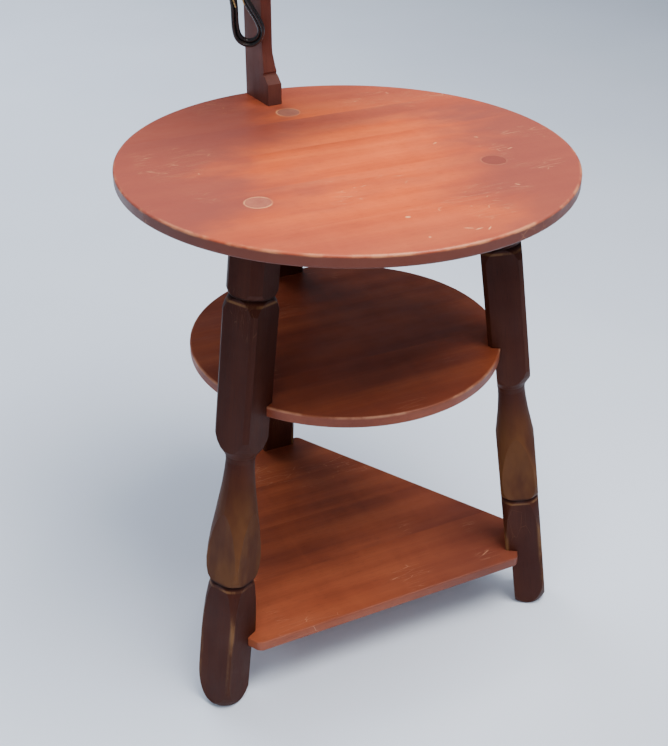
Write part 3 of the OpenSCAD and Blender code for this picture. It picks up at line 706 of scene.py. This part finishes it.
partFinishes = {
    "bare dowel": ("mid_shelf_dowels", "low_shelf_dowels", "arm_peg"), "screw steel": ("post_screws",),
    "aged brass": ("lamp_nipple", "nipple_cap_nut", "shade_check_ring", "socket_cap", "socket_shell",
                   "switch_stem", "shade_frame"),
    "contact brass": ("socket_thread", "plug_blades"), "core plastic": ("socket_core",),
    "cord vinyl": ("inner_cord",),
}
for name, parts in partFinishes.items():
    for part in parts:
        dress(part, finish[name])
print("stage: lamp holder, bulb and shade")


# Stained maple
topWood = {
    "dark": (0.330, 0.046, 0.012), "mid": (0.540, 0.086, 0.019), "light": (0.720, 0.150, 0.036),
    "patchAndShade": (0.215, 0.053, 0.041), "poreAndShade": (0.085, 0.019, 0.010), "wornAndHighlight": (0.72, 0.33, 0.15),
    "rough": (0.38, 0.52), "coat": 0.06, "coatRough": 0.24, "gloss": 0.30, "bump": 0.00012,
}
shelfWood = {
    "dark": (0.085, 0.015, 0.008), "mid": (0.165, 0.034, 0.014), "light": (0.270, 0.066, 0.024),
    "patchAndShade": (0.090, 0.020, 0.013), "poreAndShade": (0.045, 0.009, 0.006), "wornAndHighlight": (0.60, 0.30, 0.17),
    "rough": (0.42, 0.56), "coat": 0.06, "coatRough": 0.22, "gloss": 0.30, "bump": 0.00012,
}
legWood = {
    "dark": (0.020, 0.0040, 0.0022), "mid": (0.040, 0.0085, 0.0042), "light": (0.066, 0.0165, 0.0070),
    "patchAndShade": (0.028, 0.0055, 0.0045), "poreAndShade": (0.009, 0.0025, 0.002), "wornAndHighlight": (0.26, 0.13, 0.050),
    "vase": (0.100, 0.036, 0.011), "rough": (0.50, 0.64), "coat": 0.0, "coatRough": 0.25, "gloss": 0.14,
    "bump": 0.00014,
}
postWood = dict(legWood, dark=(0.062, 0.020, 0.015), mid=(0.135, 0.044, 0.033), light=(0.210, 0.076, 0.054),
                gloss=0.25)
# painted light: the shelf wood made lighter for the lower shelf
litLowShelfWood = dict(shelfWood, mid=(0.215, 0.046, 0.018), light=(0.330, 0.084, 0.032))


def woodTone(tree, point, look):
    # point runs along X with the grain; returns colour, roughness and surface height
    broad = noiseAt(tree, point, (2.0, 10.0, 10.0), 1.0, 3.0, 0.5, 0.9)
    streak = noiseAt(tree, point, (2.6, 75.0, 75.0), 1.0, 3.0, 0.5, 0.2)
    fine = noiseAt(tree, point, (14.0, 420.0, 420.0), 1.0, 4.0, 0.6)
    curl = noiseAt(tree, point, (30.0, 9.0, 9.0), 1.0, 3.0, 0.5, 0.8)
    soft = noiseAt(tree, point, (3.0, 4.6, 4.6), 1.0, 3.0, 0.55, 0.5)
    arch = put(tree, "ShaderNodeMapping", {"Vector": point, "Scale": (0.8, 5.0, 3.0)}).outputs[0]
    rings = put(tree, "ShaderNodeTexWave",
                {"Vector": arch, "Scale": 1.3, "Distortion": 7.0, "Detail": 2.0, "Detail Scale": 0.7,
                                            "Detail Roughness": 0.5}, wave_type="BANDS",
                                            bands_direction="Y").outputs["Fac"]
    tone = maths(tree, "MULTIPLY_ADD", broad, 0.42, 0.07)
    tone = maths(tree, "MULTIPLY_ADD", streak, 0.17, tone)
    tone = maths(tree, "MULTIPLY_ADD", rings, 0.07, tone)
    tone = maths(tree, "MULTIPLY_ADD", fine, 0.14, tone)
    tone = maths(tree, "MULTIPLY_ADD", curl, 0.13, tone)
    colour = ramp(tree, tone, [(0.30, look["dark"]), (0.51, look["mid"]), (0.76, look["light"])])
    colour = mixed(tree, remap(tree, soft, 0.48, 0.74, 0.0, 0.6), colour, look["patchAndShade"])
    pores = noiseAt(tree, point, (60.0, 1300.0, 1300.0), 1.0, 1.0, 0.5)
    pores = remap(tree, pores, 0.63, 0.72)
    colour = mixed(tree, maths(tree, "MULTIPLY", pores, 0.4), colour, look["poreAndShade"])
    dull = remap(tree, noiseAt(tree, point, (12.0, 22.0, 22.0), 1.0, 4.0, 0.6), 0.35, 0.68, *look["rough"])
    height = maths(tree, "MULTIPLY_ADD", fine, 0.5, maths(tree, "MULTIPLY", pores, -0.35))
    height = maths(tree, "MULTIPLY_ADD", streak, 0.4, height)
    return colour, dull, height


def woodMaterial(name, look, grain="X", shift=(0, 0, 0), turn=0.0, extras=None):
    made, tree, shader, point = newMaterial(name)
    turns = {"X": (0, 0, turn), "Y": (0, 0, math.pi / 2 + turn), "Z": (0, math.pi / 2, turn)}
    along = put(tree, "ShaderNodeMapping",
                {"Vector": point, "Location": shift, "Rotation": turns[grain]}).outputs[0]
    colour, dull, height = woodTone(tree, along, look)
    if extras:
        colour, dull, height = extras(tree, point, along, look, colour, dull, height)
    setIn(tree, shader,
          {"Base Color": colour, "Roughness": dull, "Coat Weight": look["coat"],
           "Coat Roughness": look["coatRough"],
                         "Specular IOR Level": look["gloss"]})
    bumped(tree, shader, height, look["bump"])
    return made


def scratches(tree, point, scale, share, turn=0.4):
    # short fine lines that cross the grain here and there
    moved = put(tree, "ShaderNodeMapping",
                {"Vector": point, "Rotation": (0.1, 0.2, turn), "Scale": (scale, scale * 9, scale * 3)})
    lines = put(tree, "ShaderNodeTexVoronoi", {"Vector": moved.outputs[0], "Scale": 1.0, "Randomness": 1.0},
                feature="DISTANCE_TO_EDGE").outputs["Distance"]
    lines = remap(tree, lines, 0.012, 0.0)
    where = remap(tree, noiseAt(tree, point, (9.0, 9.0, 9.0), 1.0, 2.0), 1.0 - share, 1.06 - share)
    return maths(tree, "MULTIPLY", lines, where)


def radiusOf(tree, point):
    split = put(tree, "ShaderNodeSeparateXYZ", {0: point})
    x, y, z = split.outputs
    return maths(tree, "SQRT", maths(tree, "MULTIPLY_ADD", x, x, maths(tree, "MULTIPLY", y, y))), x, y, z


topMarks = [  # place on the top, half length, half width, turn
    ((-0.0244, -0.210), 0.0042, 0.0034, 0.0), ((-0.029, -0.2696), 0.0022, 0.0018, 0.0),
    ((0.0237, -0.2672), 0.0070, 0.0012, -0.5), ((0.0337, -0.2735), 0.0065, 0.0012, 0.1),
    ((0.0455, -0.2774), 0.0060, 0.0012, 0.7),
    ((0.1286, -0.008), 0.0050, 0.0013, 0.5), ((0.1914, -0.0114), 0.0040, 0.0013, -0.6),
    ((0.210, -0.0673), 0.0055, 0.0010, 0.2),
]


def topWearAndPaintedLight(tree, point, along, look, colour, dull, height):
    far, x, y, z = radiusOf(tree, point)
    uneven = noiseAt(tree, point, (26.0, 26.0, 60.0), 1.0, 4.0, 0.6)
    # Painted sheen and shade: the top is darker to both sides of a bright band across the middle, which runs
    # along the line of sight. It is also darker towards the back and towards the rim.
    cloud = noiseAt(tree, point, (4.2, 7.5, 4.2), 1.0, 4.0, 0.6, 0.6)
    across = maths(tree, "ABSOLUTE",
                   maths(tree, "MULTIPLY_ADD", x, 0.90, maths(tree, "MULTIPLY_ADD", y, -0.437, -0.015)))
    across = maths(tree, "MULTIPLY_ADD", maths(tree, "SUBTRACT", cloud, 0.5), 0.30, across)
    sheenSideShade = remap(tree, across, 0.045, 0.215, 0.0, 0.88)
    back = remap(tree, maths(tree, "MULTIPLY_ADD", x, 0.437, maths(tree, "MULTIPLY", y, 0.90)), 0.12, 0.27,
                 0.0, 0.6)
    outer = remap(tree, maths(tree, "MULTIPLY_ADD", maths(tree, "SUBTRACT", cloud, 0.5), 0.12, far), 0.14,
                  0.29, 0.0, 0.55)
    shade = maths(tree, "MAXIMUM", maths(tree, "MAXIMUM", sheenSideShade, back), outer)
    colour = mixed(tree, shade, colour, look["patchAndShade"])
    # stain rubbed off the rim, with a painted highlight along its arris; the rim's side darker as painted shade
    rimWearAndHighlight = maths(tree, "MULTIPLY", remap(tree, far, 0.3005, 0.3040), remap(tree, z, 0.7325, 0.7350))
    rimWearAndHighlight = maths(tree, "MULTIPLY", rimWearAndHighlight, remap(tree, uneven, 0.42, 0.66, 0.0, 0.42))
    rimSideShade = remap(tree, z, 0.7362, 0.7330)
    colour = mixed(tree, maths(tree, "MULTIPLY", rimSideShade, 0.88), colour, look["poreAndShade"])
    colour = mixed(tree, rimWearAndHighlight, colour, look["wornAndHighlight"])
    marks = scratches(tree, point, 16.0, 0.42)
    for (mx, my), long, wide, turn in topMarks:
        marks = maths(tree, "MAXIMUM", marks,
                      nearSpot(tree, point, (mx, my, table["topHeight"]), (long, wide, 0.004), turn))
    colour = mixed(tree, maths(tree, "MULTIPLY", marks, 0.7), colour, look["wornAndHighlight"])
    # pale, worn line round each tenon
    for name, angle in table["legAngles"].items():
        cx, cy = table["legTop"] * math.cos(math.radians(angle)), table["legTop"] * math.sin(math.radians(angle))
        dx, dy = maths(tree, "SUBTRACT", x, cx), maths(tree, "SUBTRACT", y, cy)
        away = maths(tree, "SQRT", maths(tree, "MULTIPLY_ADD", dx, dx, maths(tree, "MULTIPLY", dy, dy)))
        ring = maths(tree, "MULTIPLY", remap(tree, away, 0.0150, 0.0163), remap(tree, away, 0.0188, 0.0168))
        ring = maths(tree, "MULTIPLY", ring,
                     remap(tree, uneven, 0.36, 0.56, 0.25, 0.9 if name != "right" else 0.05))
        colour = mixed(tree, ring, colour, look["wornAndHighlight"])
        stain = remap(tree, away, 0.030, 0.014, 0.0, 0.30 if name == "right" else 0.12)
        colour = mixed(tree, stain, colour, look["patchAndShade"])
    height = maths(tree, "MULTIPLY_ADD", marks, -0.8, height)
    return colour, maths(tree, "MULTIPLY_ADD", marks, 0.2, dull), height


def shelfWearAndShade(rimRadius, height, frontRightShadeShare=0.0):
    def wear(tree, point, along, look, colour, dull, bump):
        far, x, y, z = radiusOf(tree, point)
        uneven = noiseAt(tree, point, (30.0, 30.0, 30.0), 1.0, 4.0, 0.6)
        edge = maths(tree, "MULTIPLY", remap(tree, far, rimRadius - 0.0035, rimRadius - 0.0008),
                     remap(tree, z, height - 0.004, height - 0.001))
        edge = maths(tree, "MULTIPLY", edge, remap(tree, uneven, 0.40, 0.64, 0.05, 0.40))
        marks = scratches(tree, point, 15.0, 0.42, 0.9)
        # painted shade: darker and browner towards the front right, by the given share
        frontRightShade = remap(tree, maths(tree, "MULTIPLY_ADD", y, -0.45, x), 0.02, 0.24, 0.0, frontRightShadeShare)
        colour = mixed(tree, frontRightShade, colour, look["patchAndShade"])
        colour = mixed(tree, maths(tree, "MAXIMUM", edge, maths(tree, "MULTIPLY", marks, 0.5)), colour,
                       look["wornAndHighlight"])
        return colour, dull, maths(tree, "MULTIPLY_ADD", marks, -0.6, bump)
    return wear


def legWearAndShade(tree, point, along, look, endTone, colour, dull, bump):
    # along is the leg's own frame with X up the leg: rubbed corners, paler vase, painted shadow in the grooves
    split = put(tree, "ShaderNodeSeparateXYZ", {0: along})
    up, u, v = split.outputs[0], maths(tree, "ABSOLUTE", split.outputs[1]), maths(tree, "ABSOLUTE",
                                                                                  split.outputs[2])
    uneven = noiseAt(tree, along, (14.0, 60.0, 60.0), 1.0, 4.0, 0.65)
    smoky = noiseAt(tree, along, (9.0, 24.0, 24.0), 1.0, 3.0, 0.6)
    vase = maths(tree, "MULTIPLY", remap(tree, up, 0.206, 0.214), remap(tree, up, 0.395, 0.300))
    vase = maths(tree, "MULTIPLY", vase, remap(tree, smoky, 0.34, 0.66, 0.25, 0.95))
    colour = mixed(tree, vase, colour, look["vase"])
    corner = remap(tree, maths(tree, "ADD", u, v), 0.0485, 0.0535)
    low = remap(tree, up, 0.28, 0.12, 0.18, 1.0)
    rubbed = maths(tree, "MULTIPLY", corner, remap(tree, uneven, 0.42, 0.64, 0.05, 0.45))
    colour = mixed(tree, maths(tree, "MULTIPLY", rubbed, low), colour, look["wornAndHighlight"])
    # painted shadow in each groove, and a painted highlight on the lip just below it
    for place in (0.2070, 0.6280):
        off = maths(tree, "ABSOLUTE", maths(tree, "SUBTRACT", up, place))
        colour = mixed(tree, remap(tree, off, 0.0042, 0.0010, 0.0, 0.75), colour, look["poreAndShade"])
        lipHighlight = maths(tree, "ABSOLUTE", maths(tree, "SUBTRACT", up, place - 0.0062))
        lipHighlight = maths(tree, "MULTIPLY", remap(tree, lipHighlight, 0.0026, 0.0006),
                    remap(tree, uneven, 0.36, 0.60, 0.05, 0.42))
        colour = mixed(tree, lipHighlight, colour, look["wornAndHighlight"])
    nicks = scratches(tree, along, 22.0, 0.37, 1.1)
    colour = mixed(tree, maths(tree, "MULTIPLY", nicks, 0.22), colour, look["wornAndHighlight"])
    # the tenon's end lies in the top and has the top's finish
    height = put(tree, "ShaderNodeSeparateXYZ", {0: point}).outputs[2]
    end = remap(tree, height, 0.7355, 0.7368)
    colour = mixed(tree, end, colour, mixed(tree, uneven, topWood["patchAndShade"], endTone))
    return colour, dull, maths(tree, "MULTIPLY_ADD", nicks, -0.7, bump)


boardShifts = [(0.31, 0.07, 0.2), (1.43, 0.42, 0.9), (2.17, 0.83, 1.6), (3.61, 1.31, 2.2), (4.23, 1.77, 2.9)]
for i, shift in enumerate(boardShifts):
    dress(f"top_board_{i + 1}", woodMaterial(f"maple top with painted light {i + 1}", topWood, "X", shift, 0.03, topWearAndPaintedLight))
for i in range(3):
    dress(f"mid_shelf_board_{i + 1}",
          woodMaterial(f"maple round shelf {i + 1}", shelfWood, "X", (0.7 + i, 0.5 * i, 1.1 * i), 0.0,
                                                   shelfWearAndShade(table["midRadius"], table["midHeight"])))
lowWoods = [woodMaterial(f"maple low shelf with painted light {i + 1}", litLowShelfWood, "X", (5.3 + i, 1.9 * i, 0.8 * i), 0.0,
                         shelfWearAndShade(9.0, table["lowHeight"], 0.6))
            for i in range(4)]
for i in range(4):
    dress(f"low_shelf_board_{i + 1}", lowWoods[i])
tenonTones = {"left": (0.38, 0.130, 0.080), "right": (0.17, 0.040, 0.030), "rear": (0.42, 0.170, 0.110)}
for name, angle in table["legAngles"].items():
    made, tree, shader, point = newMaterial(f"maple leg with painted light {name}")
    # into the leg's leaning frame, then its height onto X
    turned = put(tree, "ShaderNodeMapping", {"Vector": point, "Rotation": (0, 0, math.radians(-angle)),
                                             "Location": (-table["legTop"], 0, -table["topHeight"])}).outputs[0]
    level = put(tree, "ShaderNodeMapping",
                {"Vector": turned, "Rotation": (math.radians(-table["sideLean"][name]), 0, 0)}).outputs[0]
    along = put(tree, "ShaderNodeMapping", {"Vector": level, "Rotation": (0, table["legLean"] + math.pi / 2, 0),
                                            "Location": (table["topHeight"] / math.cos(table["legLean"]), 0,
                                                         0)}).outputs[0]
    shifted = put(tree, "ShaderNodeMapping", {"Vector": along, "Location": (angle * 0.01, 0.3, 0.1)}).outputs[0]
    colour, dull, height = woodTone(tree, shifted, legWood)
    colour, dull, height = legWearAndShade(tree, point, along, legWood, tenonTones[name], colour, dull, height)
    setIn(tree, shader, {"Base Color": colour, "Roughness": dull, "Coat Weight": legWood["coat"],
                         "Coat Roughness": legWood["coatRough"], "Specular IOR Level": legWood["gloss"]})
    bumped(tree, shader, height, legWood["bump"])
    dress(f"leg_{name}", made)
postMaterial = woodMaterial("maple post", postWood, "Z", (0.4, 2.2, 0.9))
print("stage: woods")


# Soft edges on the sawn pieces
softEdges = {"shelf": 0.0024, "post": 0.0012, "arm": 0.0016, "brace": 0.0014}
cuts = {  # glue lines, holes and joints that stay sharp, in the post's own frame after the first row
    "seams": (-0.31 * 0.175, 0.34 * 0.175, 0.94 * 0.175),
    "midX": -0.00275, "sleeve": (0.026, 0.283, 0.012), "peg": (0.0556, 0.522, 0.009), "ductY": 0.026,
    "bore": 0.0065,
    "armZ": 0.522, "mortise": (0.018, 0.0055), "armEnd": 0.0152, "braceEnd": 0.0158, "braceTop": 0.4985,
}
postBack = postFrame.inverted()


def shelfEdge(a, b):
    # the outer arrises of the lower shelf, but not its glue lines or dowel holes
    tops = (table["lowHeight"], table["lowHeight"] - table["shelfThick"])
    flat = all(min(abs(p.z - t) for t in tops) < 2e-5 for p in (a, b)) and abs(a.z - b.z) < 2e-5
    return flat and not any(abs(a.y - y) < 3e-5 and abs(b.y - y) < 3e-5 for y in cuts["seams"])


def postEdge(a, b):
    # outline arrises of the post, clear of its foot, the sleeve, the peg and the mortise
    p, q = postBack @ a, postBack @ b
    middle = (p + q) / 2
    if min(p.z, q.z) < 0.0006 or middle.z < 0.0006:
        return False
    holes = (cuts["sleeve"], cuts["peg"])
    if any(math.hypot(middle.y - y, middle.z - z) < r for y, z, r in holes):
        return False
    high, wide = cuts["mortise"]
    inMortise = abs(middle.z - cuts["armZ"]) < high and abs(middle.x - cuts["midX"]) < wide
    return not inMortise and not math.hypot(middle.x - cuts["midX"], middle.y - cuts["ductY"]) < cuts["bore"]


def armEdge(a, b):
    p, q = postBack @ a, postBack @ b
    middle = (p + q) / 2
    atEnd = math.hypot(middle.x - cuts["midX"], middle.y - postPlace["lampY"]) < cuts["bore"]
    atDuct = math.hypot(middle.x - cuts["midX"], middle.z - cuts["armZ"] + 0.004) <= 0.006
    return middle.y < cuts["armEnd"] and not atEnd and not atDuct


def braceEdge(a, b):
    p, q = postBack @ a, postBack @ b
    return (p.y + q.y) / 2 < cuts["braceEnd"] and (p.z + q.z) / 2 < cuts["braceTop"]


for i in range(4):
    board = softCopy(f"low_shelf_board_{i + 1}", f"lowerShelfBoard{i + 1}", softEdges["shelf"], shelfEdge, 4)
    board.data.materials.append(lowWoods[i])
    finishPiece(board, "table", "shelf_wood", f"low_shelf_board_{i + 1}")
for cadName, name, width, keep in (("lamp_post", "sawnPost", softEdges["post"], postEdge),
                                   ("lamp_arm", "sawnArm", softEdges["arm"], armEdge),
                                   ("arm_brace", "sawnBrace", softEdges["brace"], braceEdge)):
    piece = softCopy(cadName, name, width, keep, 2, 40)
    piece.data.materials.append(postMaterial)
    finishPiece(piece, "table", "post_wood", cadName)
print("stage: soft edges")


# Floor and light
def makeStage():
    size = 6.0
    floor = addObject("floor",
                      meshFrom("floor",
                               [(-size, -size, 0), (size, -size, 0), (size, size, 0), (-size, size, 0)],
                               [(0, 1, 2, 3)]))
    made, tree, shader, point = newMaterial("pale floor")
    tone = noiseAt(tree, point, (1.4, 1.4, 1.4), 1.0, 2.0)
    setIn(tree, shader,
          {"Base Color": ramp(tree, tone, [(0.3, (0.66, 0.73, 0.86)), (0.7, (0.70, 0.77, 0.90))]),
           "Roughness": 0.7})
    floor.data.materials.append(made)
    world = bpy.data.worlds.new("studio")
    world.use_nodes = True
    world.node_tree.nodes["Background"].inputs[0].default_value = (0.72, 0.84, 1.0, 1)
    world.node_tree.nodes["Background"].inputs[1].default_value = 0.24
    bpy.context.scene.world = world


lights = {
    "key": {"place": (0.4, -0.85, 2.95), "target": (0.0, 0.0, 0.4), "size": 1.7, "power": 155.0,
            "colour": (1.0, 0.97, 0.93)},
    "side": {"place": (-1.9, -1.9, 1.7), "target": (0.0, 0.0, 0.2), "size": 1.5, "power": 36.0,
             "colour": (0.92, 0.96, 1.0)},
    "far": {"place": (-0.8, 3.6, 3.2), "target": (-0.4, 3.4, 0.0), "size": 3.0, "power": 190.0,
            "colour": (0.92, 0.96, 1.0)},
}


def makeLights():
    for name, look in lights.items():
        data = bpy.data.lights.new(name, "AREA")
        data.energy, data.size, data.color = look["power"], look["size"], look["colour"]
        lamp = bpy.data.objects.new(name, data)
        lamp.location = look["place"]
        lamp.visible_glossy = name == "key"
        lamp.rotation_euler = (Vector(look["target"]) - Vector(look["place"])).to_track_quat("-Z",
                                                                                             "Y").to_euler()
        bpy.context.scene.collection.objects.link(lamp)


makeStage()
makeLights()
print("stage: floor and light")
